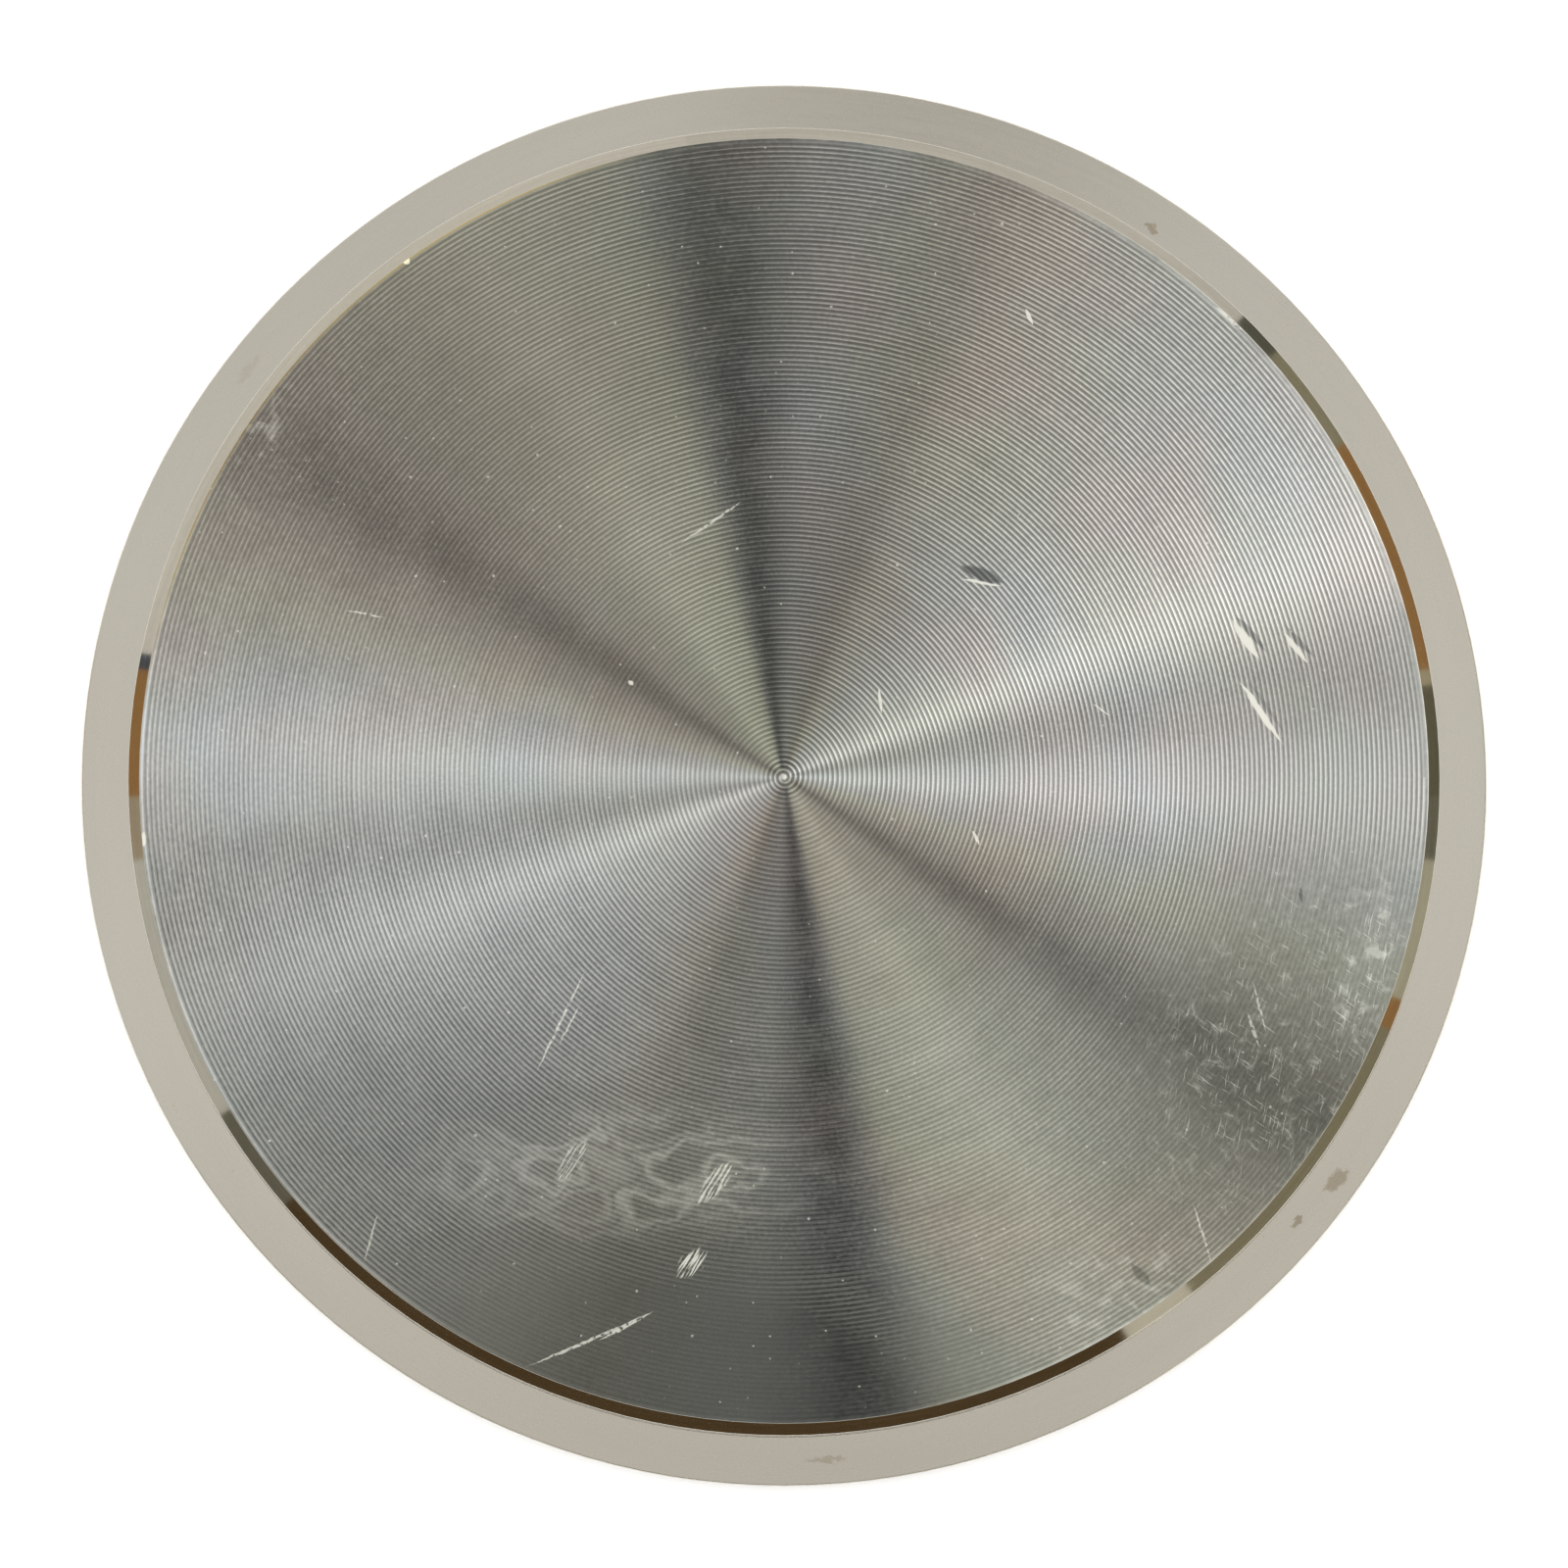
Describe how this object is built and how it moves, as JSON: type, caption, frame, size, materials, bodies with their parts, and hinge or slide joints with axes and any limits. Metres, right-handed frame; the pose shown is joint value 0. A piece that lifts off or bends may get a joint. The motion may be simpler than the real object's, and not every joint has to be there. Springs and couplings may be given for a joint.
{
  "type": "blind flange",
  "caption": "Round solid steel blind flange that closes a sanitary clamp joint, with a turned raised face, a tapered clamp flank and a gasket groove in its sealing side.",
  "frame": {"origin": "centre of the sealing side, which the disc lies on", "axes": "+Z along the axis of the disc, from the sealing side to the turned outer face; +X and +Y are free, because the disc is round"},
  "size_m": [0.091, 0.091, 0.0063],
  "materials": {
    "turned_steel": "bare stainless steel, face turned with a fine spiral, satin flank"
  },
  "bodies": {
    "root": {"blank_disc": "turned_steel"}
  },
  "joints": []
}
